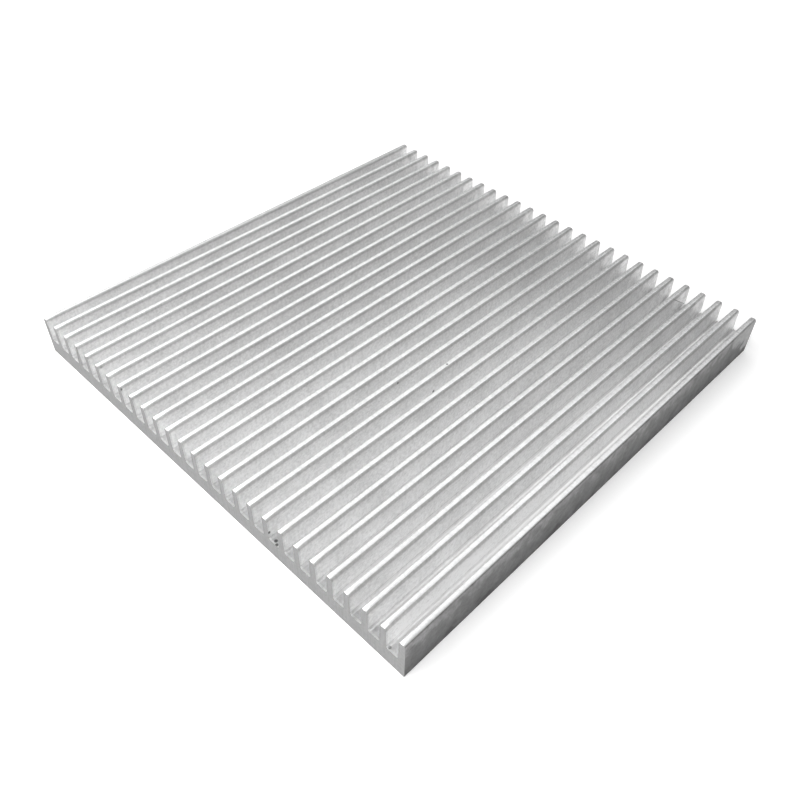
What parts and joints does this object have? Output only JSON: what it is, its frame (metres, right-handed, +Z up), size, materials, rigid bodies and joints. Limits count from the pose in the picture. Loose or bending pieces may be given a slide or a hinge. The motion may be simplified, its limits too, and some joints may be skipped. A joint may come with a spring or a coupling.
{
  "type": "extruded heat sink",
  "caption": "Flat rectangular extruded aluminium heat sink: a solid base plate with low, straight, closely spaced fins running its full length.",
  "frame": {"origin": "middle of the flat underside, on the plane that meets the cooled part", "axes": "+X across the fins, +Y along the extrusion and its fins, +Z up from the underside to the fin tips"},
  "size_m": [0.1, 0.102, 0.0088],
  "materials": {
    "extruded_aluminium": "mill finish, bright fin tips and satin flanks, sawn ends"
  },
  "bodies": {
    "root": {"heat_sink": "extruded_aluminium"}
  },
  "joints": []
}
